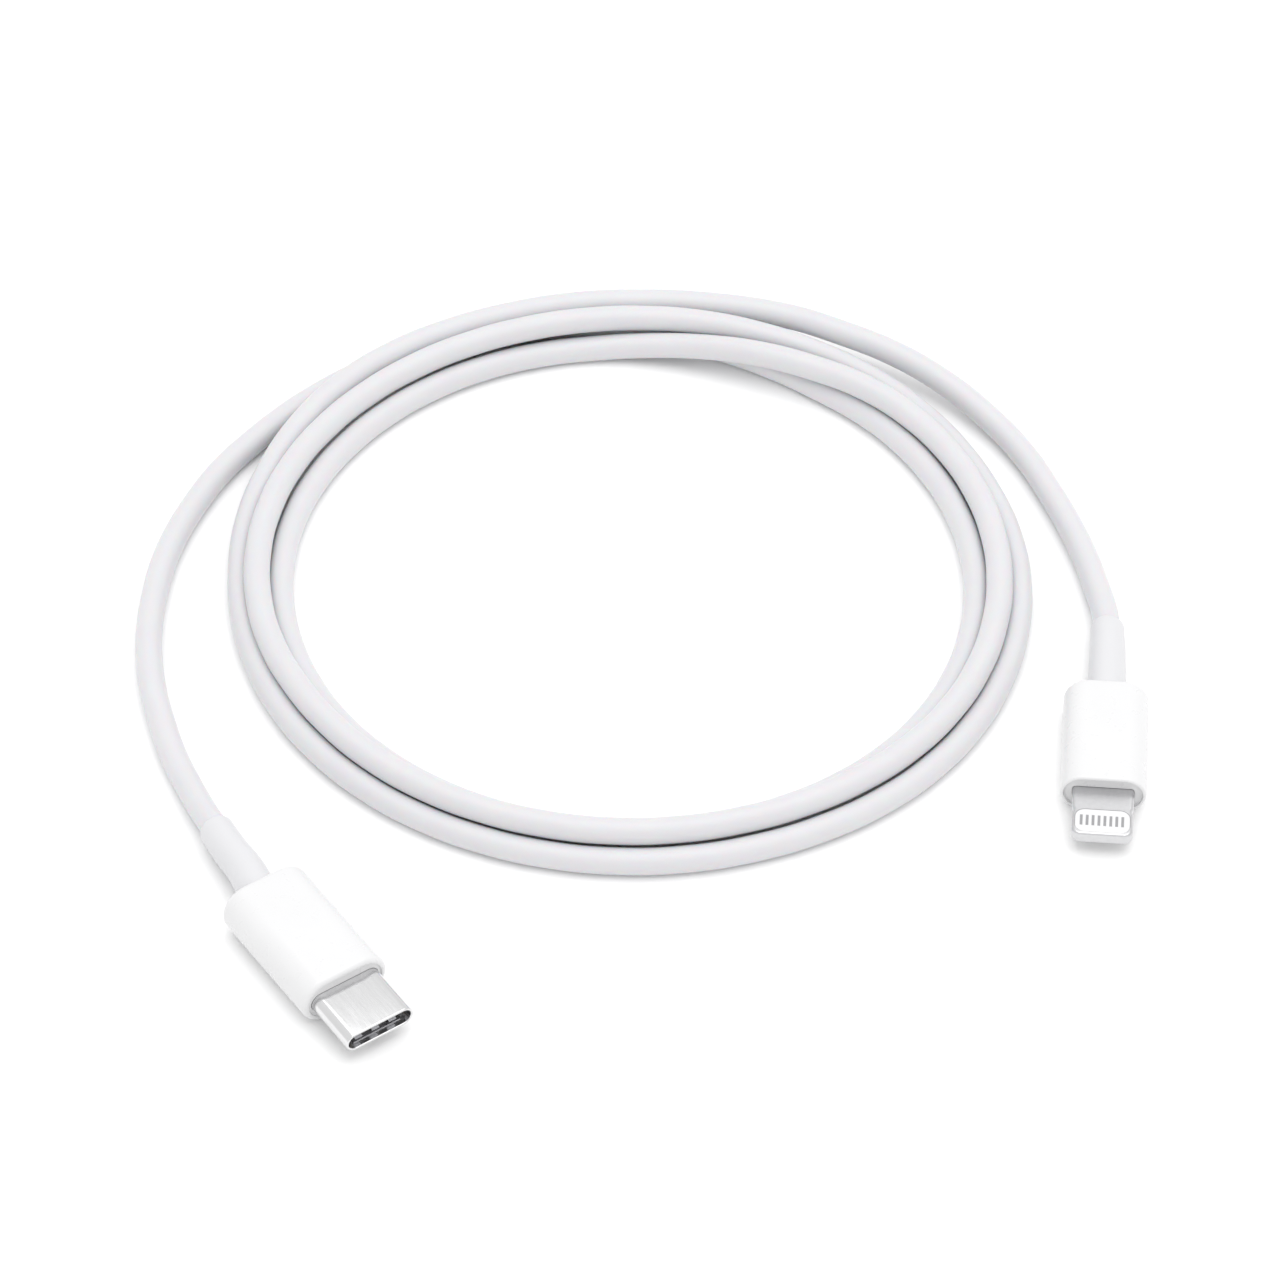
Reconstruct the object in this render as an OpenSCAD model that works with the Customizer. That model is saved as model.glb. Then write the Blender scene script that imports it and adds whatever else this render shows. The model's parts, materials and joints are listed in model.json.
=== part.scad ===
// A phone charging cable: a type-C plug on one end, a reversible eight-contact tab plug on the
// other, and one metre of round cord between them, laid down in a ring of three turns.
// Millimetres. The cable lies on z = 0. Each plug is drawn along its own axis, with its front
// towards -Y and the middle of its housing's front face at its own zero, and is then put down.

/* [Cord] */
// Diameter of the round cord
cord_d = 3; // [2.6:0.1:3]
// Radius of the outermost turn, to the middle of the cord
ring_r = 44.2; // [43.5:0.1:44.5]
// Step in radius from one turn to the next
turn_step = 2.55; // [2.4:0.05:2.7]
// Centre of the ring, from left to right
ring_x = -5.8; // [-8:0.1:-4]
// Centre of the ring, from front to back
ring_y = 40; // [39:0.1:42]

/* [Type-C plug] */
// Width of the housing
usb_w = 10.4; // [10:0.1:11]
// Thickness of the housing
usb_t = 6; // [5.8:0.1:6.4]
// Length of the housing
usb_l = 16.6; // [16.4:0.1:18]
// Width of the metal shell, which the standard fixes
shell_w = 8.25; // [8.2:0.01:8.34]
// Thickness of the metal shell, which the standard fixes
shell_t = 2.4; // [2.35:0.01:2.5]
// How far the metal shell stands out of the housing
shell_out = 6.65; // [6.2:0.05:6.65]
// Turn of the plug about the vertical
usb_turn = 35; // [30:1:40]
// How far a latch arm swings out as the plug goes in, degrees
latch_swing = 2.5; // [1:0.1:3]

/* [Tab plug] */
// Width of the housing
tab_housing_w = 9.4; // [9:0.1:10]
// Thickness of the housing
tab_housing_t = 5; // [4.9:0.1:5.4]
// Length of the housing
tab_housing_l = 15.2; // [15:0.1:16.5]
// Width of the metal tab
tab_w = 6.7; // [6.6:0.05:6.8]
// Thickness of the metal tab
tab_t = 1.5; // [1.45:0.05:1.6]
// How far the metal tab stands out of the housing
tab_out = 6.65; // [6.4:0.05:6.9]
// Distance from one contact to the next
tab_pitch = 0.64; // [0.6:0.01:0.66]
// Turn of the plug about the vertical
tab_turn = -5.3; // [-8:0.1:0]

/* [Strain reliefs] */
// Diameter where the relief leaves the housing
relief_d = 4.4; // [4.2:0.1:4.4]
// Diameter near the relief's free end
relief_end_d = 3.8; // [3.5:0.1:4]

/* [Hidden] */
$fn = 48;

// Where the plugs lie: the middle of each housing's front face, at the height of its axis
usb_at = [-35.4, -23.6, usb_t / 2];
tab_at = [45.8, 5, tab_housing_t / 2];

// Cord
cord_r = cord_d / 2;
inner_r = ring_r - 2 * turn_step;
middle_r = ring_r - turn_step;
raised_z = 4.2;

// Housings
wall = 0.7;
end_wall = 1.2;
front_round = 0.35;
rear_round = 0.9;
face_recess = 0.25;
face_rim = 0.6;
fit_gap = 0.02;

// Metal shell of the type-C plug, and what stands in it
shell_wall = 0.3;
shell_in = 3;
mouth_half_t = shell_t / 2 - shell_wall;
carrier_half_w = 3.15;
carrier_front = -4.9;
carrier_rear = 1.9;
carrier_z = 0.45;
blade_w = 0.25;
blade_t = 0.18;
blade_front = -4.5;
blade_pitch = 0.5;
UPPER_PLACES = [1, 4, 5, 6, 7, 9, 12];
LOWER_PLACES = [1, 4, 5, 9, 12];
spring_t = 0.1;
spring_front = -6.05;
spring_half_w = 2.9;
latch_x = 3.36;
latch_y = 1.1;
latch_root_r = 0.14;
latch_t = 0.18;
latch_h = 0.6;
latch_tip = -4.6;
latch_hook = 0.42;
bridge_half_l = 0.55;
bridge_t = 0.2;

// Circuit boards and what is on them
usb_board_t = 0.8;
usb_board_front = 2.1;
usb_board_rear = 10;
usb_board_w = 7;
tab_board_t = 0.6;
tab_board_rear = 8.4;
tab_board_w = 4.9;
wire_r = 0.35;
wire_x = 0.62;
wire_lap = 1.4;

// Shields, moulds and crimp rings, as distances behind the housing's front face
shield_t = 0.15;
usb_cord_start = 12.7;
tab_cord_start = 10.9;
crimp_wall = 0.3;
crimp_l = 1.7;

// Tab
window_w = 6;
window_front = 0.3;
window_l = 3.4;
window_round = 0.7;
tab_nose_r = 1.1;
tab_edge_r = 0.45;
tab_contact_w = 0.3;
tab_contact_l = 1.5;
tab_contact_y = -5.4;
tab_contact_t = 0.15;
tab_contacts = 8;
detent_r = 0.9;
detent_depth = 0.3;
detent_y = -2.9;

// Routes: the middle of the cord from each relief to the ring, in round numbers
usb_relief_route = [[-46.8, -6.3, 2.8], [-48.6, -3.3, 2.55], [-50.2, -0.2, 2.3]];
usb_tail_route = [
    [-51.9, 3.1, 2], [-53.7, 7.1, 1.6], [-55.6, 11.6, 1.5], [-57.2, 16.6, 1.5], [-58.5, 21.6, 1.5],
    [-59.3, 26.6, 1.5], [-59.6, 31.6, 1.5], [-59.4, 36.6, 1.5], [-58.7, 42.1, 1.5], [-57.3, 47.6, 1.5],
    [-55.4, 52.6, 1.5], [-52.9, 57.7, 1.5], [-49.7, 62.3, 1.5], [-46.1, 66.7, 1.5], [-42.1, 70.7, 1.5],
    [-37.4, 74.4, 1.5]
];
tab_relief_route = [[47.4, 23.6, 2.45], [47.7, 27.1, 2.35], [47.9, 30.8, 2.15]];
tab_tail_route = [
    [47.8, 34.1, 1.8], [47.2, 38.1, 1.55], [46.2, 43.1, 1.5], [44.7, 48.4, 1.5],
    [42.7, 54.1, 1.5], [40.1, 60.1, 1.6], [36.5, 65.8, 1.9], [31.3, 71.5, 2.6], [25.7, 75.6, 3.4],
    [19.3, 78.8, 4], [13, 81.5, 4.2]
];

// A point on a plug's own axis, y behind its front face, in the cable's frame
function axis_point(at, turn, y) = [at[0] - y * sin(turn), at[1] + y * cos(turn), at[2]];

// Unit tangent of a route at point i
function tangent(route, i) =
    let (a = route[max(i - 1, 0)], b = route[min(i + 1, len(route) - 1)]) (b - a) / norm(b - a);

// One ring of points about point i of a route, square to it, w across and h high
function ring_of_points(route, i, w, h, sides) =
    let (t = tangent(route, i), flat = norm([t[0], t[1]]),
         side = [t[1] / flat, -t[0] / flat, 0], up = cross(side, t))
    [for (k = [0:sides - 1])
        route[i] + w / 2 * cos(360 * k / sides) * side + h / 2 * sin(360 * k / sides) * up];

// The faces that join each ring of n to the next, from point `first` on
function wall_faces(n, sides, first, inward) =
    [for (i = [0:n - 2], k = [0:sides - 1])
        let (a = first + i * sides + k, b = first + i * sides + (k + 1) % sides)
        inward ? [b, b + sides, a + sides, a] : [a, a + sides, b + sides, b]];

// A round tube swept along a route
module swept_tube(route, d, sides) {
    n = len(route);
    front = [for (k = [0:sides - 1]) k];
    rear = [for (k = [sides - 1:-1:0]) (n - 1) * sides + k];
    polyhedron([for (i = [0:n - 1]) each ring_of_points(route, i, d, d, sides)],
               concat([front], wall_faces(n, sides, 0, false), [rear]), convexity = 8);
}

// A sleeve swept along a route, with its own width and height at each point and a round bore
module swept_sleeve(route, widths, heights, bore_d, sides) {
    n = len(route);
    m = n * sides;
    rear = m - sides;
    outside = [for (i = [0:n - 1]) each ring_of_points(route, i, widths[i], heights[i], sides)];
    bore = [for (i = [0:n - 1]) each ring_of_points(route, i, bore_d, bore_d, sides)];
    ends = [for (k = [0:sides - 1])
        let (a = k, b = (k + 1) % sides)
        each [[a, b, m + b, m + a], [rear + b, rear + a, rear + m + a, rear + m + b]]];
    polyhedron(concat(outside, bore),
               concat(wall_faces(n, sides, 0, false), wall_faces(n, sides, m, true), ends),
               convexity = 8);
}

// Half of a bar's side view, from its middle line out, with rounded front and rear corners
module half_section(t, l, front_r, rear_r) {
    union() {
        translate([0, front_r]) square([t / 2, l - front_r - rear_r]);
        square([t / 2 - max(front_r, rear_r), l]);
        if (front_r > 0) {
            square([t / 2 - front_r, l / 2]);
            translate([t / 2 - front_r, front_r]) circle(front_r);
        }
        if (rear_r > 0) {
            translate([t / 2 - rear_r, l - rear_r]) circle(rear_r);
        }
    }
}

// A bar w wide and t thick with full round sides, running l back from y = 0
module pill_bar(w, t, l, front_r = 0, rear_r = 0) {
    union() {
        for (s = [-1, 1]) {
            translate([s * (w - t) / 2, 0, 0]) rotate([-90, 0, 0])
                rotate_extrude() half_section(t, l, front_r, rear_r);
        }
        rotate([0, -90, 0]) linear_extrude(w - t, center = true) union() {
            half_section(t, l, front_r, rear_r);
            mirror([1, 0, 0]) half_section(t, l, front_r, rear_r);
        }
    }
}

// A plain block between two corners
module block(low, high) {
    translate(low) cube(high - low);
}

// A round bar along Y
module rod(x, z, r, from, to) {
    translate([x, from, z]) rotate([-90, 0, 0]) cylinder(r = r, h = to - from);
}

// Bar with four rounded long edges
module edged_bar(w, t, r, from, to) {
    union() {
        block([-w / 2 + r, from, -t / 2], [w / 2 - r, to, t / 2]);
        block([-w / 2, from, -t / 2 + r], [w / 2, to, t / 2 - r]);
        for (sx = [-1, 1], sz = [-1, 1]) {
            rod(sx * (w / 2 - r), sz * (t / 2 - r), r, from, to);
        }
    }
}

module at_usb() {
    translate(usb_at) rotate([0, 0, usb_turn]) children();
}

module at_tab() {
    translate(tab_at) rotate([0, 0, tab_turn]) children();
}

// ---- Pieces that both plugs have ----

// Moulded sleeve: open at the front for the metal, which is given as a child, and at the rear
// for the strain relief
module housing(w, t, l) {
    difference() {
        pill_bar(w, t, l, front_round, rear_round);
        translate([0, -1, 0]) pill_bar(w - 2 * face_rim, t - 2 * face_rim, 1 + face_recess);
        translate([0, end_wall, 0]) pill_bar(w - 2 * wall, t - 2 * wall, l - 2 * end_wall);
        children();
        rod(0, 0, relief_d / 2 + fit_gap, l - end_wall - 1, l + 1);
    }
}

// Tapered relief, swept along the first bend of the cord, with the flange that holds it inside
module strain_relief(at, turn, t, l, route) {
    start = l - end_wall - 0.8;
    flange = [axis_point(at, turn, start), axis_point(at, turn, start + 0.7)];
    body = concat([axis_point(at, turn, start + 0.75), axis_point(at, turn, l),
                   axis_point(at, turn, l + 1.5)], route);
    last = len(body) - 1;
    d = concat([relief_d, relief_d],
               [for (i = [2:last]) relief_d + (relief_end_d - relief_d) * (i - 1) / (last - 1)],
               [cord_d + 0.24]);
    h = t - 2 * wall - 0.1;
    swept_sleeve(concat(flange, body, [body[last] + 0.5 * tangent(body, last)]),
                 concat([t + 0.8, t + 0.8], d), concat([h, h], d), cord_d + 0.06, 24);
}

// Half of the thin metal can round the circuit board, above (side 1) or below (side -1)
module shield(w, t, from, to, side) {
    intersection() {
        difference() {
            translate([0, from, 0]) pill_bar(w, t, to - from);
            translate([0, from - 1, 0])
                pill_bar(w - 2 * shield_t, t - 2 * shield_t, to - from + 2);
        }
        block([-w, from - 1, side > 0 ? fit_gap : -t], [w, to + 1, side > 0 ? t : -fit_gap]);
    }
}

// Potting behind the board, with a hole for each wire
module inner_mould(w, t, from, to, wire_z) {
    difference() {
        translate([0, from, 0]) pill_bar(w, t, to - from);
        for (sx = [-1, 1], sz = [-1, 1]) {
            rod(sx * wire_x, sz * wire_z, wire_r + fit_gap, from - 1, to + 1);
        }
    }
}

// Ring crimped on the cord's end
module crimp_ring(start) {
    difference() {
        rod(0, 0, cord_r + crimp_wall, start + 0.1, start + 0.1 + crimp_l);
        rod(0, 0, cord_r, start - 1, start + crimp_l + 1);
    }
}

// One insulated wire from the cord's end to the board
module wire(sx, sz, board_rear, start, wire_z) {
    rod(sx * wire_x, sz * wire_z, wire_r, board_rear - wire_lap, start);
}

// ---- Type-C plug ----

usb_wire_z = usb_board_t / 2 + wire_r;

module usb_housing() {
    color("white") at_usb() housing(usb_w, usb_t, usb_l)
        translate([0, -1, 0])
            pill_bar(shell_w + 2 * fit_gap, shell_t + 2 * fit_gap, end_wall + 2);
}

module usb_strain_relief() {
    color("whitesmoke") strain_relief(usb_at, usb_turn, usb_t, usb_l, usb_relief_route);
}

// Drawn steel shell with a rounded lip at its mouth
module usb_shell() {
    color("silver") at_usb() difference() {
        translate([0, -shell_out, 0]) pill_bar(shell_w, shell_t, shell_out + shell_in, 0.14);
        translate([0, -shell_out - 1, 0])
            pill_bar(shell_w - 2 * shell_wall, shell_t - 2 * shell_wall, shell_out + shell_in + 2);
    }
}

// Across the plug: where the contact in place p of a row of twelve stands
function blade_x(p) = blade_pitch * (p - 6.5);

module usb_blades(places, side) {
    for (p = places) {
        block([side * blade_x(p) - blade_w / 2, blade_front, side > 0 ? usb_board_t / 2 : -usb_board_t / 2 - blade_t],
              [side * blade_x(p) + blade_w / 2, usb_board_front + 1.3,
               side > 0 ? usb_board_t / 2 + blade_t : -usb_board_t / 2]);
    }
}

// Insulator that carries one row of contacts in grooves; its rear half holds the latch bridge
module usb_carrier(places, side) {
    top = mouth_half_t - 0.03;
    difference() {
        union() {
            block([-carrier_half_w, carrier_front, side > 0 ? carrier_z : -top],
                  [carrier_half_w, carrier_rear, side > 0 ? top : -carrier_z]);
            block([-carrier_half_w, latch_y - bridge_half_l, side > 0 ? bridge_t / 2 : -carrier_z - 0.1],
                  [carrier_half_w, carrier_rear, side > 0 ? carrier_z + 0.1 : -bridge_t / 2]);
        }
        usb_blades(places, side);
    }
}

module usb_upper_carrier() {
    color("dimgray") at_usb() usb_carrier(UPPER_PLACES, 1);
}

module usb_lower_carrier() {
    color("dimgray") at_usb() usb_carrier(LOWER_PLACES, -1);
}

module usb_upper_contacts() {
    color("goldenrod") at_usb() usb_blades(UPPER_PLACES, 1);
}

module usb_lower_contacts() {
    color("goldenrod") at_usb() usb_blades(LOWER_PLACES, -1);
}

// Thin spring strip just inside the mouth, with three fingers that press on the socket
module usb_ground_spring(side) {
    z_out = mouth_half_t - 0.02;
    rotate([0, side > 0 ? 0 : 180, 0]) union() {
        block([-spring_half_w, spring_front, z_out - spring_t],
              [spring_half_w, spring_front + 0.35, z_out]);
        for (x = [-2.1, 0, 2.1]) {
            translate([x - 0.45, 0, 0]) rotate([90, 0, 90]) linear_extrude(0.9) polygon([
                [spring_front + 0.2, z_out - spring_t], [spring_front + 0.2, z_out],
                [spring_front + 0.75, z_out - 0.28], [spring_front + 1.1, z_out - 0.2],
                [spring_front + 1.1, z_out - 0.3], [spring_front + 0.7, z_out - 0.38]
            ]);
        }
    }
}

module usb_upper_ground_spring() {
    color("lightgray") at_usb() usb_ground_spring(1);
}

module usb_lower_ground_spring() {
    color("lightgray") at_usb() usb_ground_spring(-1);
}

// Plate between the two carriers that holds the latch arms by their roots
module usb_latch_bridge() {
    color("gray") at_usb() difference() {
        block([-latch_x, latch_y - bridge_half_l, -bridge_t / 2],
              [latch_x, latch_y + bridge_half_l, bridge_t / 2]);
        for (s = [-1, 1]) {
            translate([s * latch_x, latch_y, 0])
                cylinder(r = latch_root_r + 0.05, h = 1, center = true);
            block([s * latch_x - 0.25, latch_y - 1, -1], [s * latch_x + 0.25, latch_y, 1]);
        }
    }
}

// Side latch: a spring arm from its root to the hook that catches in the socket's tongue
module usb_latch(side) {
    mirror([side > 0 ? 0 : 1, 0, 0]) union() {
        translate([latch_x, latch_y, 0]) cylinder(r = latch_root_r, h = latch_h, center = true);
        block([latch_x - latch_t / 2, latch_tip, -latch_h / 2],
              [latch_x + latch_t / 2, latch_y, latch_h / 2]);
        translate([0, 0, -latch_h / 2]) linear_extrude(latch_h) polygon([
            [latch_x, latch_tip], [latch_x - latch_hook, latch_tip + 0.5],
            [latch_x - latch_hook, latch_tip + 0.8], [latch_x, latch_tip + 1.3]
        ]);
    }
}

module usb_latch_left() {
    color("gray") at_usb() usb_latch(-1);
}

module usb_latch_right() {
    color("gray") at_usb() usb_latch(1);
}

module usb_circuit_board() {
    color("darkgreen") at_usb() block([-usb_board_w / 2, usb_board_front, -usb_board_t / 2],
                                      [usb_board_w / 2, usb_board_rear, usb_board_t / 2]);
}

module usb_marker_chip() {
    color("black") at_usb() block([-1.5, 4.6, usb_board_t / 2], [1.5, 7.2, usb_board_t / 2 + 0.7]);
}

module usb_capacitors() {
    color("tan") at_usb() for (x = [-2.2, 0, 2.2]) {
        block([x - 0.5, 5.2, -usb_board_t / 2 - 0.5], [x + 0.5, 5.7, -usb_board_t / 2]);
    }
}

module usb_upper_shield() {
    color("lightgray") at_usb() shield(usb_w - 2 * wall - 0.2, usb_t - 2 * wall - 0.2, 1.4, 12.2, 1);
}

module usb_lower_shield() {
    color("lightgray") at_usb() shield(usb_w - 2 * wall - 0.2, usb_t - 2 * wall - 0.2, 1.4, 12.2, -1);
}

module usb_inner_mould() {
    color("ivory") at_usb()
        inner_mould(usb_w - 2 * wall - 0.6, usb_t - 2 * wall - 0.6, usb_board_rear + 0.1, 12.1, usb_wire_z);
}

module usb_crimp_ring() {
    color("peru") at_usb() crimp_ring(usb_cord_start);
}

module usb_power_wire() {
    color("red") at_usb() wire(-1, 1, usb_board_rear, usb_cord_start, usb_wire_z);
}

module usb_ground_wire() {
    color("black") at_usb() wire(1, 1, usb_board_rear, usb_cord_start, usb_wire_z);
}

module usb_data_wires() {
    color("green") at_usb() for (s = [-1, 1]) {
        wire(s, -1, usb_board_rear, usb_cord_start, usb_wire_z);
    }
}

// ---- Tab plug ----

tab_wire_z = tab_board_t / 2 + wire_r;
window_rear = -tab_out + window_front + window_l;

module tab_housing() {
    color("white") at_tab() housing(tab_housing_w, tab_housing_t, tab_housing_l)
        edged_bar(tab_w + 2 * fit_gap, tab_t + 2 * fit_gap, tab_edge_r + fit_gap, -1, end_wall + 1);
}

module tab_strain_relief() {
    color("whitesmoke") strain_relief(tab_at, tab_turn, tab_housing_t, tab_housing_l, tab_relief_route);
}

// Outline of the window that the contact block fills, seen from above
module window_outline(grow) {
    x = window_w / 2 - window_round;
    y_front = -tab_out + window_front + window_round;
    y_rear = window_rear - window_round;
    union() {
        for (sx = [-1, 1], y = [y_front, y_rear]) {
            translate([sx * x, y]) circle(window_round + grow);
        }
        translate([-x - window_round - grow, y_front])
            square([2 * (x + window_round + grow), y_rear - y_front]);
        translate([-x, y_front - window_round - grow])
            square([2 * x, y_rear - y_front + 2 * (window_round + grow)]);
    }
}

// Steel frame: the tab itself, its nose, the window for the contacts and a slot for the board
module tab_frame() {
    inside = 2.6;
    color("silver") at_tab() difference() {
        intersection() {
            edged_bar(tab_w, tab_t, tab_edge_r, -tab_out, inside);
            translate([0, 0, -tab_t]) linear_extrude(2 * tab_t) union() {
                for (s = [-1, 1]) {
                    translate([s * (tab_w / 2 - tab_nose_r), -tab_out + tab_nose_r])
                        circle(tab_nose_r);
                }
                translate([-tab_w / 2 + tab_nose_r, -tab_out])
                    square([tab_w - 2 * tab_nose_r, tab_out + inside]);
                translate([-tab_w / 2, -tab_out + tab_nose_r])
                    square([tab_w, tab_out + inside - tab_nose_r]);
            }
        }
        translate([0, 0, -tab_t]) linear_extrude(2 * tab_t) window_outline(0);
        block([-tab_board_w / 2 - 0.05, window_rear - 0.5, -0.48],
              [tab_board_w / 2 + 0.05, inside + 1, 0.48]);
        for (s = [-1, 1]) {
            translate([s * (tab_w / 2 + detent_r - detent_depth), detent_y, 0])
                cylinder(r = detent_r, h = 2 * tab_t, center = true);
        }
    }
}

function tab_contact_x(i) = tab_pitch * (i - (tab_contacts - 1) / 2);

// A row of contacts: a pad in the face, a leg down through the block and a tail on the board
module tab_contact_row(side) {
    z_face = tab_t / 2 + 0.02;
    z_board = tab_board_t / 2;
    leg_y = tab_contact_y + tab_contact_l;
    rotate([0, side > 0 ? 0 : 180, 0]) for (i = [0:tab_contacts - 1]) {
        union() {
            block([tab_contact_x(i) - tab_contact_w / 2, tab_contact_y, z_face - tab_contact_t],
                  [tab_contact_x(i) + tab_contact_w / 2, leg_y, z_face]);
            block([tab_contact_x(i) - tab_contact_w / 2, leg_y - 0.15, z_board],
                  [tab_contact_x(i) + tab_contact_w / 2, leg_y, z_face]);
            block([tab_contact_x(i) - tab_contact_w / 2, leg_y - 0.15, z_board],
                  [tab_contact_x(i) + tab_contact_w / 2, window_rear + 0.7, z_board + 0.12]);
        }
    }
}

// White moulded block in the tab's window
module tab_contact_block() {
    color("white") at_tab() difference() {
        translate([0, 0, -tab_t / 2 - 0.01]) linear_extrude(tab_t + 0.02) window_outline(0);
        tab_contact_row(1);
        tab_contact_row(-1);
    }
}

module tab_upper_contacts() {
    color("gray") at_tab() tab_contact_row(1);
}

module tab_lower_contacts() {
    color("gray") at_tab() tab_contact_row(-1);
}

module tab_circuit_board() {
    color("darkgreen") at_tab() block([-tab_board_w / 2, window_rear, -tab_board_t / 2],
                                      [tab_board_w / 2, tab_board_rear, tab_board_t / 2]);
}

module tab_control_chip() {
    color("black") at_tab() block([-1.3, 3.1, tab_board_t / 2], [1.3, 5.7, tab_board_t / 2 + 0.6]);
}

module tab_switch_chip() {
    color("black") at_tab() block([-0.8, 3.1, -tab_board_t / 2 - 0.5], [0.8, 4.7, -tab_board_t / 2]);
}

module tab_capacitors() {
    color("tan") at_tab() for (x = [-1.5, 0, 1.5]) {
        block([x - 0.5, 5.4, -tab_board_t / 2 - 0.5], [x + 0.5, 5.9, -tab_board_t / 2]);
    }
}

module tab_upper_shield() {
    color("lightgray") at_tab()
        shield(tab_housing_w - 2 * wall - 0.2, tab_housing_t - 2 * wall - 0.2, 1.4, 10.4, 1);
}

module tab_lower_shield() {
    color("lightgray") at_tab()
        shield(tab_housing_w - 2 * wall - 0.2, tab_housing_t - 2 * wall - 0.2, 1.4, 10.4, -1);
}

module tab_inner_mould() {
    color("ivory") at_tab()
        inner_mould(tab_housing_w - 2 * wall - 0.6, tab_housing_t - 2 * wall - 0.6, tab_board_rear + 0.1,
                    10.3, tab_wire_z);
}

module tab_crimp_ring() {
    color("peru") at_tab() crimp_ring(tab_cord_start);
}

module tab_power_wire() {
    color("red") at_tab() wire(-1, 1, tab_board_rear, tab_cord_start, tab_wire_z);
}

module tab_ground_wire() {
    color("black") at_tab() wire(1, 1, tab_board_rear, tab_cord_start, tab_wire_z);
}

module tab_data_wires() {
    color("green") at_tab() for (s = [-1, 1]) {
        wire(s, -1, tab_board_rear, tab_cord_start, tab_wire_z);
    }
}

// ---- Cord ----

// The stretch from inside a plug, through its relief, to the ring
module cord_tail(at, turn, start, l, relief_route, tail_route) {
    route = concat([axis_point(at, turn, start), axis_point(at, turn, l),
                    axis_point(at, turn, l + 1.5)], relief_route, tail_route);
    swept_tube(route, cord_d, 8);
}

module cord_usb_tail() {
    color("white") cord_tail(usb_at, usb_turn, usb_cord_start, usb_l, usb_relief_route, usb_tail_route);
}

module cord_tab_tail() {
    color("white")
        cord_tail(tab_at, tab_turn, tab_cord_start, tab_housing_l, tab_relief_route, tab_tail_route);
}

// One layer of turns side by side, as the area that a radius sweeps
module turn_layer(from_r, to_r, z) {
    union() {
        for (r = [from_r, to_r]) {
            translate([r, z]) circle(cord_r);
        }
        translate([from_r, z - cord_r]) square([to_r - from_r, cord_d]);
    }
}

// The outer shape of the three turns: two on the table and the rest raised between and over them
module cord_ring() {
    color("white") translate([ring_x, ring_y, 0]) rotate_extrude($fn = 96) union() {
        turn_layer(inner_r, ring_r, cord_r);
        turn_layer(middle_r, ring_r, raised_z);
    }
}

usb_housing();
usb_strain_relief();
usb_shell();
usb_upper_carrier();
usb_lower_carrier();
usb_upper_contacts();
usb_lower_contacts();
usb_upper_ground_spring();
usb_lower_ground_spring();
usb_latch_bridge();
usb_latch_left();
usb_latch_right();
usb_circuit_board();
usb_marker_chip();
usb_capacitors();
usb_upper_shield();
usb_lower_shield();
usb_inner_mould();
usb_crimp_ring();
usb_power_wire();
usb_ground_wire();
usb_data_wires();
tab_housing();
tab_strain_relief();
tab_frame();
tab_contact_block();
tab_upper_contacts();
tab_lower_contacts();
tab_circuit_board();
tab_control_chip();
tab_switch_chip();
tab_capacitors();
tab_upper_shield();
tab_lower_shield();
tab_inner_mould();
tab_crimp_ring();
tab_power_wire();
tab_ground_wire();
tab_data_wires();
cord_usb_tail();
cord_ring();
cord_tab_tail();
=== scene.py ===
"""A white phone charging cable on a white floor: a type-C plug, a tab plug and one metre of cord
lying in a ring of three turns. The plugs are drawn in their own frames, in millimetres, with the
middle of the housing's front face at zero and the cord leaving towards +Y."""
import json
import math

import bmesh
import bpy
from mathutils import Matrix, Vector


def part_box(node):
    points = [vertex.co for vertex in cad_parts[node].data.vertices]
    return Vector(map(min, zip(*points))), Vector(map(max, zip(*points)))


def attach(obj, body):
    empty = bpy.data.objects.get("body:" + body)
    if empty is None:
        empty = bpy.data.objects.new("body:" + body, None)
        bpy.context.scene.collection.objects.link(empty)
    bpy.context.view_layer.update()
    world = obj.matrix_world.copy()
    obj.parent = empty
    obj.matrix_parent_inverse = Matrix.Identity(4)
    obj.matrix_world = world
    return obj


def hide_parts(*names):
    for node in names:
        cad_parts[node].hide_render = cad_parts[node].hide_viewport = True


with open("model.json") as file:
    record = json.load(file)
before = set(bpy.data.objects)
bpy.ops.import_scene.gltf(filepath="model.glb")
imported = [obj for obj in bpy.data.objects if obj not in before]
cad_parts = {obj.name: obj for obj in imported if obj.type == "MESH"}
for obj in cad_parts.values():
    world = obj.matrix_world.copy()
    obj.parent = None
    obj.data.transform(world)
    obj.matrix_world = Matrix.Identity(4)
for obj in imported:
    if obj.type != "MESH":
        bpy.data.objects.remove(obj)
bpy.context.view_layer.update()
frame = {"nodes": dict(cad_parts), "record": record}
BODY = "cable"
MM = 0.001

# ---- Camera: a long lens from 45 degrees above the front ----

AIM = Vector((-0.0045, 0.0313, 0.0))
ELEVATION = math.radians(44.9)
DISTANCE = 0.6

camera = bpy.data.objects.new("camera", bpy.data.cameras.new("camera"))
camera.data.lens = 150
camera.data.sensor_width = 36
camera.data.clip_start = 0.01
camera.location = AIM + DISTANCE * Vector((0, -math.cos(ELEVATION), math.sin(ELEVATION)))
camera.rotation_euler = (math.pi / 2 - ELEVATION, 0, 0)
bpy.context.scene.collection.objects.link(camera)
bpy.context.scene.camera = camera

# ---- Materials ----


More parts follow.
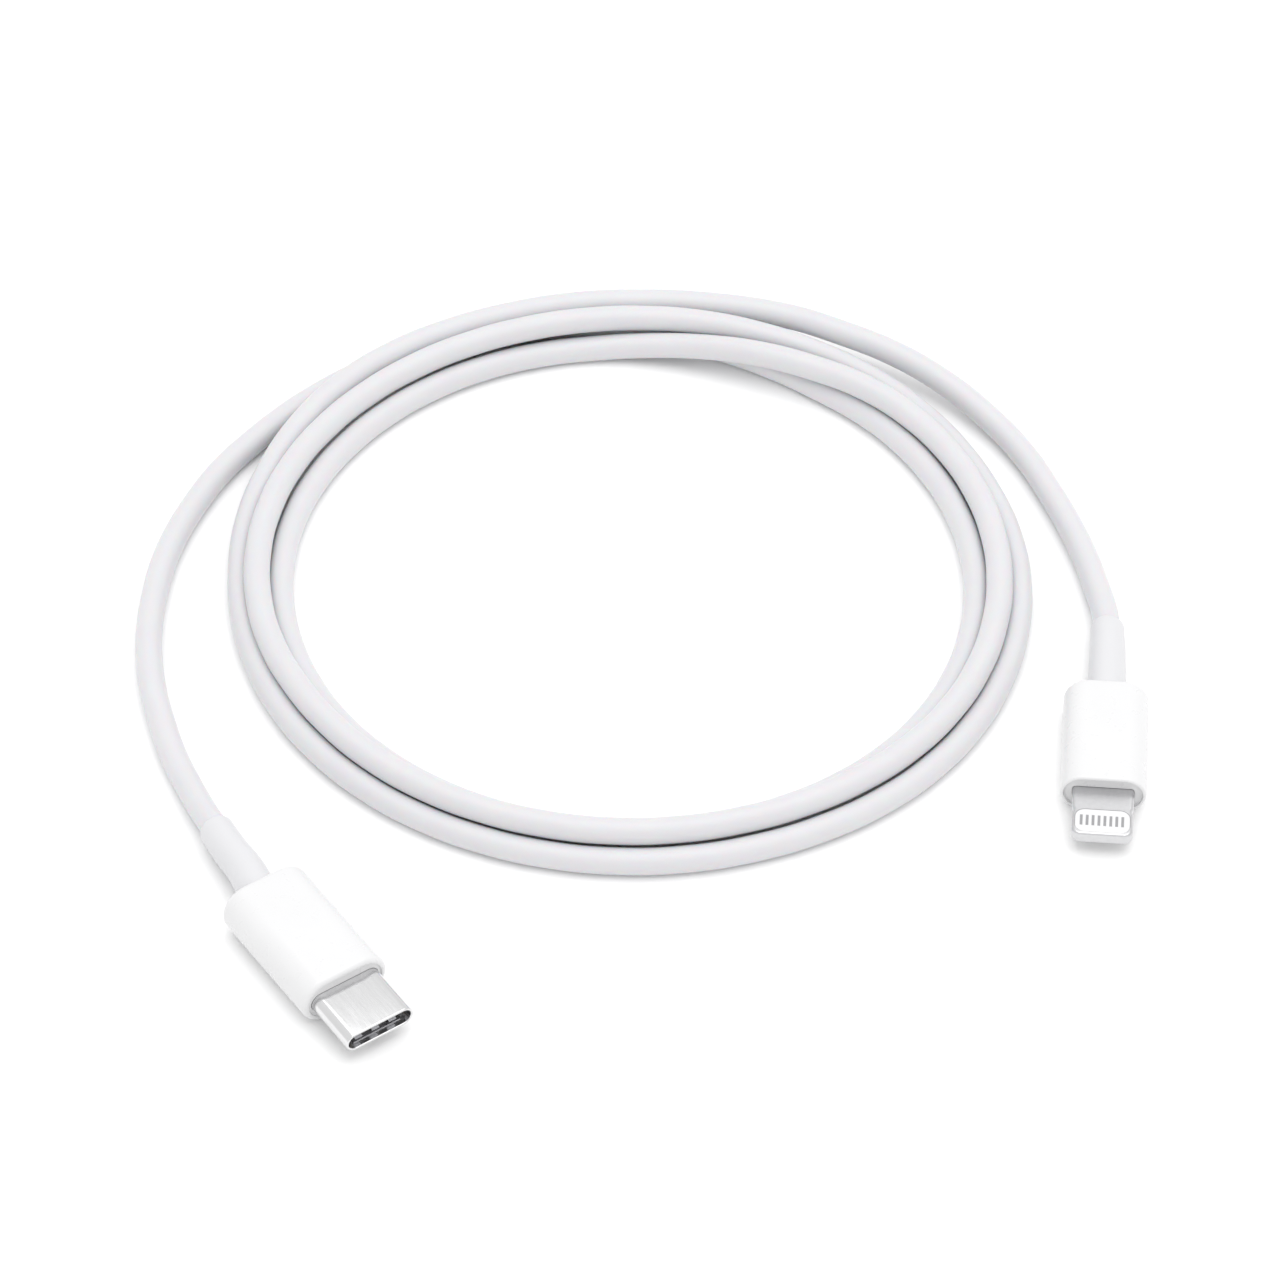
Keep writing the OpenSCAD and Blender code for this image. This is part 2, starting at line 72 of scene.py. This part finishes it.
class Surface:
    """A Principled material whose colour, roughness and relief come from noise in the piece's own space."""

    def __init__(self, name, colour, roughness, metallic=0.0):
        self.material = bpy.data.materials.new(name)
        self.material.use_nodes = True
        self.tree = self.material.node_tree
        self.shader = self.tree.nodes["Principled BSDF"]
        self.shader.inputs["Base Color"].default_value = (*colour, 1)
        self.shader.inputs["Roughness"].default_value = roughness
        self.shader.inputs["Metallic"].default_value = metallic
        self.colour = colour
        self.roughness = roughness
        self.place = self.node("ShaderNodeTexCoord").outputs["Object"]

    def node(self, kind, **settings):
        made = self.tree.nodes.new(kind)
        for key, value in settings.items():
            setattr(made, key, value)
        return made

    def noise(self, size, stretch=(1, 1, 1), detail=3.0):
        """Noise whose lumps are about size millimetres across, drawn out by stretch along each axis."""
        scale = self.node("ShaderNodeMapping")
        scale.inputs["Scale"].default_value = [1 / s for s in stretch]
        grain = self.node("ShaderNodeTexNoise")
        grain.inputs["Scale"].default_value = 1 / (size * MM)
        grain.inputs["Detail"].default_value = detail
        self.tree.links.new(self.place, scale.inputs["Vector"])
        self.tree.links.new(scale.outputs["Vector"], grain.inputs["Vector"])
        return grain.outputs["Fac"]

    def tint(self, fac, darker):
        """The colour falls to darker times itself where fac is low."""
        ramp = self.node("ShaderNodeValToRGB")
        ramp.color_ramp.elements[0].position = 0.3
        ramp.color_ramp.elements[1].position = 0.7
        ramp.color_ramp.elements[0].color = (*(c * darker for c in self.colour), 1)
        ramp.color_ramp.elements[1].color = (*self.colour, 1)
        self.tree.links.new(fac, ramp.inputs["Fac"])
        self.tree.links.new(ramp.outputs["Color"], self.shader.inputs["Base Color"])
        return self

    def scuff(self, fac, spread):
        """The roughness varies by spread either way."""
        span = self.node("ShaderNodeMapRange")
        span.inputs["From Min"].default_value = 0.3
        span.inputs["From Max"].default_value = 0.7
        span.inputs["To Min"].default_value = self.roughness - spread
        span.inputs["To Max"].default_value = self.roughness + spread
        self.tree.links.new(fac, span.inputs["Value"])
        self.tree.links.new(span.outputs["Result"], self.shader.inputs["Roughness"])
        return self

    def bump(self, fac, height):
        """Relief height millimetres deep."""
        bump = self.node("ShaderNodeBump")
        bump.inputs["Strength"].default_value = 1.0
        bump.inputs["Distance"].default_value = height * MM
        self.tree.links.new(fac, bump.inputs["Height"])
        self.tree.links.new(bump.outputs["Normal"], self.shader.inputs["Normal"])
        return self

    def soft(self, weight, radius):
        """Light scatters radius millimetres into the plastic."""
        self.shader.inputs["Subsurface Weight"].default_value = weight
        self.shader.inputs["Subsurface Scale"].default_value = radius * MM
        return self


def moulded(name, colour, roughness, grain=0.12, height=0.0006, darker=0.985):
    """Injection-moulded plastic: a very fine texture from the tool, a little uneven in gloss."""
    s = Surface(name, colour, roughness)
    return s.tint(s.noise(4), darker).scuff(s.noise(1.5), 0.04).bump(s.noise(grain), height)


def rolled(name, colour, roughness, along=(1, 40, 1), height=0.0008):
    """Bare metal with fine lines drawn out along one axis."""
    s = Surface(name, colour, roughness, metallic=1.0)
    lines = s.noise(0.06, along)
    return s.tint(s.noise(0.5, along), 0.94).scuff(lines, 0.05).bump(lines, height)


MATERIALS = {
    "white_jacket": moulded("jacket", (0.64, 0.64, 0.66), 0.42, 0.3, 0.002).soft(0.5, 0.7),
    "white_housing": moulded("housing_plastic", (0.72, 0.72, 0.725), 0.3, 0.8, 0.0004),
    "white_relief": moulded("relief_plastic", (0.65, 0.65, 0.665), 0.38, 0.2, 0.001),
    "polished_steel": rolled("shell_steel", (0.76, 0.76, 0.765), 0.18),
    "satin_steel": rolled("tab_steel", (0.64, 0.64, 0.65), 0.34, (1, 1, 1)),
    "spring_steel": rolled("spring_steel", (0.45, 0.45, 0.47), 0.3),
    "shield_steel": rolled("shield_steel", (0.6, 0.6, 0.6), 0.35),
    "gold_contact": rolled("gold_plate", (0.83, 0.62, 0.28), 0.22),
    "grey_contact": rolled("contact_plate", (0.38, 0.38, 0.39), 0.35, (1, 1, 1)),
    "grey_insulator": moulded("grey_insulator", (0.42, 0.42, 0.43), 0.45),
    "white_insulator": moulded("white_insulator", (0.74, 0.74, 0.745), 0.35),
    "green_board": moulded("board", (0.03, 0.2, 0.09), 0.3, darker=0.7),
    "black_chip": moulded("chip", (0.03, 0.03, 0.03), 0.5, 0.06, 0.002, 0.8),
    "tan_ceramic": moulded("ceramic", (0.5, 0.38, 0.25), 0.4, darker=0.85),
    "ivory_mould": moulded("potting", (0.8, 0.77, 0.68), 0.5, darker=0.9),
    "copper": rolled("copper", (0.75, 0.4, 0.25), 0.3),
    "red_wire": moulded("red_insulation", (0.6, 0.04, 0.04), 0.35, darker=0.9),
    "black_wire": moulded("black_insulation", (0.03, 0.03, 0.03), 0.35, darker=0.8),
    "green_wire": moulded("green_insulation", (0.04, 0.35, 0.1), 0.35, darker=0.9),
}

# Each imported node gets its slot's finish; the ones a detailed piece replaces stay hidden
for part in frame["record"]["subparts"]:
    node = frame["nodes"][part["node"]]
    node.data.materials.clear()
    node.data.materials.append(MATERIALS[part["material_slot"]].material)

# ---- Shapes ----

AROUND = 14  # steps round each corner
FIT = 0.03  # gap between a piece and the one it sits in, mm
CRISP = 30  # degrees: an edge that turns by more than this stays sharp on the tab


def across(width, height, corner, y):
    """A rounded rectangle square to the plug's axis, at y."""
    corner = min(corner, width / 2, height / 2)
    side, top = width / 2 - corner, height / 2 - corner
    return [
        Vector((sx * side + corner * math.cos(a), y, sz * top + corner * math.sin(a)))
        for quarter, (sx, sz) in enumerate(((1, 1), (-1, 1), (-1, -1), (1, -1)))
        for a in (math.radians(90 * (quarter + k / AROUND)) for k in range(AROUND + 1))
    ]


def flat(width, front, rear, corner, z):
    """A rounded rectangle lying flat at height z, from y = front to rear."""
    middle = (front + rear) / 2
    return [Vector((p.x, middle + p.z, z)) for p in across(width, rear - front, corner, 0)]


def lofted(rings, cap_first=False, cap_last=False):
    """A mesh through rings that have the same number of points; its faces look outwards if y grows."""
    bm = bmesh.new()
    loops = [[bm.verts.new(p * MM) for p in ring] for ring in rings]
    for a, b in zip(loops, loops[1:]):
        for i in range(len(a)):
            bm.faces.new((a[i - 1], b[i - 1], b[i], a[i]))
    if cap_first:
        bm.faces.new(loops[0])
    if cap_last:
        bm.faces.new(reversed(loops[-1]))
    bmesh.ops.remove_doubles(bm, verts=bm.verts, dist=1e-7)
    return bm


def piece(name, bm, slot, replaced=(), place=Matrix.Identity(4), smooth_to=40):
    """Makes the mesh a piece of the cable, smooth except where it turns by more than smooth_to degrees."""
    mesh = bpy.data.meshes.new(name)
    bm.to_mesh(mesh)
    bm.free()
    mesh.shade_smooth()
    mesh.set_sharp_from_angle(angle=math.radians(smooth_to))
    mesh.materials.append(MATERIALS[slot].material)
    made = bpy.data.objects.new(name, mesh)
    bpy.context.scene.collection.objects.link(made)
    made.matrix_world = place
    bpy.context.view_layer.update()
    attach(made, BODY)
    if replaced:
        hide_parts(*replaced)
    return made


def quarter_turn(steps):
    """(1 - cos, 1 - sin) of steps equal angles from 0 to 90 degrees: the two insets of a rounding."""
    angles = [math.pi / 2 * k / steps for k in range(steps + 1)]
    return [(1 - math.cos(a), 1 - math.sin(a)) for a in angles]


def plug_place(housing, metal, length):
    """Where a plug lies: its housing's middle, and the way from there to the middle of its metal."""
    middle = sum(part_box(housing), Vector()) / 2
    forward = (sum(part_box(metal), Vector()) / 2 - middle).normalized()
    turn = math.atan2(forward.x, -forward.y)
    return Matrix.Translation(middle + forward * length / 2 * MM) @ Matrix.Rotation(turn, 4, "Z")


# ---- Cord ----

CORD_D = 3.0
USB_L = 16.6
TAB_L = 15.2
usb_place = plug_place("usb_housing", "usb_shell", USB_L)
tab_place = plug_place("tab_housing", "tab_frame", TAB_L)

# The loose stretches, in metres, as in the CAD source
USB_RELIEF_ROUTE = [(-0.0468, -0.0063, 0.0028), (-0.0486, -0.0033, 0.00255), (-0.0502, -0.0002, 0.0023)]
USB_TAIL_ROUTE = [
    (-0.0519, 0.0031, 0.002), (-0.0537, 0.0071, 0.0016), (-0.0556, 0.0116, 0.0015),
    (-0.0572, 0.0166, 0.0015), (-0.0585, 0.0216, 0.0015), (-0.0593, 0.0266, 0.0015),
    (-0.0596, 0.0316, 0.0015), (-0.0594, 0.0366, 0.0015), (-0.0587, 0.0421, 0.0015),
    (-0.0573, 0.0476, 0.0015), (-0.0554, 0.0526, 0.0015), (-0.0529, 0.0577, 0.0015),
    (-0.0497, 0.0623, 0.0015), (-0.0461, 0.0667, 0.0015), (-0.0421, 0.0707, 0.0015),
    (-0.0374, 0.0744, 0.0015),
]
TAB_RELIEF_ROUTE = [(0.0474, 0.0236, 0.00245), (0.0477, 0.0271, 0.00235), (0.0479, 0.0308, 0.00215)]
TAB_TAIL_ROUTE = [
    (0.0478, 0.0341, 0.0018), (0.0472, 0.0381, 0.00155), (0.0462, 0.0431, 0.0015),
    (0.0447, 0.0484, 0.0015), (0.0427, 0.0541, 0.0015), (0.0401, 0.0601, 0.0016),
    (0.0365, 0.0658, 0.0019), (0.0313, 0.0715, 0.0026), (0.0257, 0.0756, 0.0034),
    (0.0193, 0.0788, 0.004), (0.013, 0.0815, 0.0042),
]

# The turns, clockwise from the back: the angle, and the radius and height in mm that the cord
# has there. It spirals in under the others, then climbs out lane by lane over what lies below.
RING_MIDDLE = Vector((-5.6, 39.8, 0))
TURNS = [
    (-35, 46.1, 1.5), (0, 42.1, 1.5), (20, 39.9, 1.5), (35, 38.9, 1.5), (60, 38.9, 1.5),
    (90, 39.2, 1.5), (140, 39.8, 1.5), (185, 39.4, 1.5), (240, 39.5, 1.5), (295, 39.75, 1.5),
    (352, 39.25, 1.5),
    (370, 38.4, 2.9), (380, 38.1, 4.0), (390, 38.5, 4.4), (400, 39.5, 4.4), (410, 40.5, 4.1),
    (422, 41.2, 3.7), (450, 41.7, 3.6), (485, 42.1, 3.6), (525, 41.5, 3.7), (560, 41.4, 3.8),
    (595, 41.5, 3.7), (620, 42.1, 3.7), (645, 42.3, 3.7), (670, 42.0, 3.8), (690, 41.45, 4.15),
    (705, 41.1, 4.4), (730, 41.2, 4.4),
    (740, 41.6, 4.0), (750, 42.4, 3.2), (760, 43.3, 2.3), (770, 43.6, 1.7), (785, 43.6, 1.5),
    (810, 44.0, 1.5), (850, 44.5, 1.5), (885, 43.9, 1.5), (930, 43.6, 1.5), (970, 43.8, 1.5),
    (990, 44.2, 1.5), (1000, 44.7, 1.6), (1010, 45.0, 2.2), (1020, 45.1, 3.2), (1035, 45.0, 4.1),
    (1050, 44.5, 4.3), (1065, 44.1, 4.4), (1080, 44.2, 4.3), (1091, 44.7, 4.2),
]
TURN_STEP = 10


def between(keys, column, at):
    """A smooth curve through one column of keys that never overshoots them, at an angle."""
    def slope(i):
        (x0, y0), (x1, y1), (x2, y2) = ((k[0], k[column]) for k in keys[i - 1:i + 2])
        before, after = (y1 - y0) / (x1 - x0), (y2 - y1) / (x2 - x1)
        return 0.0 if before * after <= 0 else 2 * before * after / (before + after)

    i = max(n for n in range(len(keys) - 1) if n == 0 or keys[n][0] <= at)
    (xa, ya), (xb, yb) = ((k[0], k[column]) for k in keys[i:i + 2])
    ma = slope(i) if i > 0 else (yb - ya) / (xb - xa)
    mb = slope(i + 1) if i + 2 < len(keys) else (yb - ya) / (xb - xa)
    t, h = (at - xa) / (xb - xa), xb - xa
    return (
        (2 * t**3 - 3 * t**2 + 1) * ya + (t**3 - 2 * t**2 + t) * h * ma
        + (3 * t**2 - 2 * t**3) * yb + (t**3 - t**2) * h * mb
    )


def turn_point(angle):
    radius, height = between(TURNS, 1, angle), between(TURNS, 2, angle)
    a = math.radians(angle)
    return MM * (RING_MIDDLE + Vector((radius * math.sin(a), radius * math.cos(a), height)))


first, last = TURNS[0][0], TURNS[-1][0]
steps = round((last - first) / TURN_STEP)
turns = [turn_point(first + (last - first) * k / steps) for k in range(steps + 1)]
usb_inside = [usb_place @ Vector((0, y * MM, 0)) for y in (14.6, USB_L, USB_L + 1.5)]
tab_inside = [tab_place @ Vector((0, y * MM, 0)) for y in (13.2, TAB_L, TAB_L + 1.5)]
usb_end = usb_inside + [Vector(p) for p in USB_RELIEF_ROUTE]
tab_end = tab_inside + [Vector(p) for p in TAB_RELIEF_ROUTE]
route = (
    usb_end + [Vector(p) for p in USB_TAIL_ROUTE] + turns
    + [Vector(p) for p in reversed(TAB_TAIL_ROUTE)] + tab_end[::-1]
)

line = bpy.data.curves.new("cord", "CURVE")
line.dimensions = "3D"
line.bevel_depth = CORD_D / 2 * MM
line.bevel_resolution = 8
line.resolution_u = 6
line.use_fill_caps = True
spline = line.splines.new("BEZIER")
spline.bezier_points.add(len(route) - 1)
for knot, point in zip(spline.bezier_points, route):
    knot.co = point
    knot.handle_left_type = knot.handle_right_type = "AUTO"
line.materials.append(MATERIALS["white_jacket"].material)
cord = bpy.data.objects.new("cord", line)
bpy.context.scene.collection.objects.link(cord)
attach(cord, BODY)
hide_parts("cord_usb_tail", "cord_ring", "cord_tab_tail")

# ---- Pieces that both plugs have ----

RELIEF_D = 4.4
RELIEF_END_D = 3.8
RELIEF_END_ROUND = 0.5
RELIEF_AROUND = 40
BROKEN_EDGE = 0.05
LIP_ROUND = 0.08
OPENING_DEPTH = 1.2
REAR_ROUND = 0.85
REAR_DEPTH = 0.8
REAR_STEP = 0.01


def housing(name, replaced, place, size, front, opening):
    """Moulded sleeve: its front face is sunk inside a rim, and its rear is rounded to the relief."""
    width, thick, length = size
    front_round, rim, recess = front

    def ring(inset_w, inset_t, y):
        return across(width - 2 * inset_w, thick - 2 * inset_t, thick / 2 - inset_t, y)

    ow, oh, oc = opening
    edge, lip = BROKEN_EDGE, LIP_ROUND
    rings = [across(ow, oh, oc, OPENING_DEPTH), across(ow, oh, oc, recess + edge)]
    rings += [across(ow + 2 * edge, oh + 2 * edge, oc + edge, recess)]
    rings += [ring(rim + edge, rim + edge, recess), ring(rim, rim, recess - edge)]
    rings += [ring(rim - lip * c, rim - lip * c, lip * s) for c, s in quarter_turn(4)]
    rings += [ring(front_round * s, front_round * s, front_round * c) for c, s in quarter_turn(8)]
    seat = RELIEF_D / 2 + FIT
    rear_t = thick / 2 - seat - REAR_STEP
    rings += [ring(REAR_ROUND * c, rear_t * c, length - REAR_ROUND * s) for c, s in quarter_turn(10)]
    rings += [across(2 * seat, 2 * seat, seat, y) for y in (length, length - REAR_DEPTH)]
    return piece(name, lofted(rings), "white_housing", replaced, place)


def smooth_path(points, steps):
    """Points along a Catmull-Rom curve through points."""
    padded = [2 * points[0] - points[1], *points, 2 * points[-1] - points[-2]]
    made = []
    for a, b, c, d in zip(padded, padded[1:], padded[2:], padded[3:]):
        for k in range(steps):
            t = k / steps
            made.append(0.5 * (
                2 * b + (c - a) * t
                + (2 * a - 5 * b + 4 * c - d) * t**2
                + (3 * b - a - 3 * c + d) * t**3
            ))
    return made + [points[-1]]


def relief(name, replaced, path):
    """Tapered sleeve round the cord's first bend, rounded into the cord at its free end."""
    line = smooth_path([p / MM for p in path], 5)
    reach = [0.0]
    for a, b in zip(line, line[1:]):
        reach.append(reach[-1] + (b - a).length)
    rings = []
    for i, (point, far) in enumerate(zip(line, reach)):
        ahead = line[min(i + 1, len(line) - 1)] - line[max(i - 1, 0)]
        side = ahead.cross(Vector((0, 0, 1))).normalized()
        up = side.cross(ahead).normalized()
        radius = (RELIEF_D + (RELIEF_END_D - RELIEF_D) * far / reach[-1]) / 2
        rings.append((point, side, up, radius))
    point, side, up, radius = rings[-1]
    ahead = up.cross(side).normalized()
    for c, s in quarter_turn(6)[1:]:
        beyond = point + ahead * RELIEF_END_ROUND * (1 - s)
        rings.append((beyond, side, up, radius - (radius - CORD_D / 2 - FIT) * c))
    angles = [2 * math.pi * k / RELIEF_AROUND for k in range(RELIEF_AROUND)]
    loops = [
        [p + r * (math.cos(a) * side + math.sin(a) * up) for a in angles]
        for p, side, up, r in rings
    ]
    return piece(name, lofted(loops), "white_relief", replaced)


# ---- Type-C plug ----

SHELL_W = 8.25
SHELL_T = 2.4
SHELL_WALL = 0.3
SHELL_OUT = 6.65
SHELL_IN = 3

USB_OPENING = (SHELL_W + 2 * FIT, SHELL_T + 2 * FIT, SHELL_T / 2 + FIT)

housing(
    "usb_housing_moulding", ["usb_housing"], usb_place, (10.4, 6.0, USB_L), (0.62, 0.7, 0.18), USB_OPENING
)
relief("usb_relief_moulding", ["usb_strain_relief"], usb_end)


def shell():
    """Drawn shell: in along the inside from the rear, round the lip and back along the outside."""
    def ring(inset, y):
        return across(SHELL_W - 2 * inset, SHELL_T - 2 * inset, SHELL_T / 2 - inset, y)

    nose = SHELL_WALL / 2
    rings = [ring(SHELL_WALL, SHELL_IN), ring(SHELL_WALL, nose - SHELL_OUT)]
    rings += [ring(2 * nose - nose * c, nose * s - SHELL_OUT) for c, s in quarter_turn(6)]
    rings += [ring(nose * s, nose * c - SHELL_OUT) for c, s in quarter_turn(6)[1:]]
    rings += [ring(0, SHELL_IN)]
    return piece("usb_shell_drawn", lofted(rings), "polished_steel", ["usb_shell"], usb_place)


shell()

# ---- Tab plug ----

TAB_W = 6.7
TAB_T = 1.5
TAB_OUT = 6.65
TAB_IN = 1.2
TAB_EDGE = 0.45
TAB_NOSE = 0.95
TAB_NOSE_T = 0.32
WINDOW_W = 6.0
WINDOW_FRONT = 0.3 - TAB_OUT
WINDOW_REAR = 3.7 - TAB_OUT
WINDOW_ROUND = 1.1
DETENT_Y = -2.9
DETENT_R = 0.9
DETENT_DEPTH = 0.12
NOSE_STEPS = 12
HALF_DIMPLE_STEPS = 8

TAB_OPENING = (TAB_W + 2 * FIT, TAB_T + 2 * FIT, TAB_EDGE + FIT)

tab_housing = housing(
    "tab_housing_moulding", ["tab_housing"], tab_place, (9.4, 5.0, TAB_L), (0.3, 0.4, 0.3), TAB_OPENING
)
tab_relief = relief("tab_relief_moulding", ["tab_strain_relief"], tab_end)


def rounding(radius, depth):
    """How far a corner of that radius has fallen back at a depth from its front."""
    return 0.0 if depth >= radius else radius - math.sqrt(radius**2 - (radius - depth) ** 2)


def tab():
    """The steel tab with its rounded nose, side dimples and the window for the contacts."""
    depths = [TAB_NOSE * (1 - math.cos(math.pi / 2 * k / NOSE_STEPS)) for k in range(NOSE_STEPS + 1)]
    dimple = math.sqrt(DETENT_R**2 - (DETENT_R - DETENT_DEPTH) ** 2)
    half = HALF_DIMPLE_STEPS
    ys = [d - TAB_OUT for d in depths]
    ys += [DETENT_Y + dimple * (k / half - 1) for k in range(2 * half + 1)] + [TAB_IN]
    rings = []
    for y in ys:
        nose = y + TAB_OUT
        off = abs(y - DETENT_Y)
        notch = math.sqrt(DETENT_R**2 - off**2) - (DETENT_R - DETENT_DEPTH) if off < dimple else 0.0
        width = TAB_W - 2 * rounding(TAB_NOSE, nose) - 2 * notch
        height = TAB_T - 2 * rounding(TAB_NOSE_T, nose)
        rings.append(across(width, height, TAB_EDGE, y))
    body = piece(
        "tab_steel_frame", lofted(rings, True, True), "satin_steel", ["tab_frame"], tab_place, CRISP
    )
    hole = bpy.data.meshes.new("window")
    outlines = [flat(WINDOW_W, WINDOW_FRONT, WINDOW_REAR, WINDOW_ROUND, z) for z in (TAB_T, -TAB_T)]
    cutter = lofted(outlines, True, True)
    cutter.to_mesh(hole)
    cutter.free()
    window = bpy.data.objects.new("window", hole)
    window.matrix_world = tab_place
    bpy.context.scene.collection.objects.link(window)
    cut = body.modifiers.new("window", "BOOLEAN")
    cut.object = window
    cut.solver = "EXACT"
    bpy.context.view_layer.update()
    done = bpy.data.meshes.new_from_object(body.evaluated_get(bpy.context.evaluated_depsgraph_get()))
    body.modifiers.clear()
    body.data = done
    bpy.data.objects.remove(window)
    done.set_sharp_from_angle(angle=math.radians(CRISP))
    return body


def contact_block():
    """White moulding that fills the window, with its edges just broken."""
    top, edge = TAB_T / 2 + 0.01, 0.04
    rings = []
    for inset, z in ((edge, top), (0, top - edge), (0, edge - top), (edge, -top)):
        gap = inset + FIT
        rings.append(flat(WINDOW_W - 2 * gap, WINDOW_FRONT + gap, WINDOW_REAR - gap, WINDOW_ROUND - gap, z))
    return piece(
        "tab_contact_moulding", lofted(rings, True, True), "white_insulator", ["tab_contact_block"],
        tab_place, CRISP,
    )


tab_frame = tab()
tab_block = contact_block()

# ---- Floor and light ----

FLOOR = 3.0
ground = bpy.data.meshes.new("floor")
corners = [(-FLOOR, -FLOOR, 0), (FLOOR, -FLOOR, 0), (FLOOR, FLOOR, 0), (-FLOOR, FLOOR, 0)]
ground.from_pydata(corners, [], [(0, 1, 2, 3)])
paper = Surface("floor_paper", (0.93, 0.93, 0.93), 0.9)
paper.tint(paper.noise(40), 0.995).bump(paper.noise(0.4), 0.005)
ground.materials.append(paper.material)
floor = bpy.data.objects.new("floor", ground)
bpy.context.scene.collection.objects.link(floor)

world = bpy.data.worlds.new("studio")
world.use_nodes = True
world.node_tree.nodes["Background"].inputs["Color"].default_value = (1, 1, 1, 1)
world.node_tree.nodes["Background"].inputs["Strength"].default_value = 0.95
bpy.context.scene.world = world


def softbox(name, size, at, radiance):
    """A square area light of even brightness that shines on the middle of the ring."""
    lamp = bpy.data.lights.new(name, "AREA")
    lamp.shape = "SQUARE"
    lamp.size = size
    lamp.energy = radiance * math.pi * size**2
    made = bpy.data.objects.new(name, lamp)
    made.location = at
    made.rotation_euler = (Vector(at) - AIM).to_track_quat("Z", "Y").to_euler()
    bpy.context.scene.collection.objects.link(made)


softbox("overhead", 1.2, (0.1, 0.05, 1.1), 1.6)
bpy.context.scene.view_settings.view_transform = "Standard"
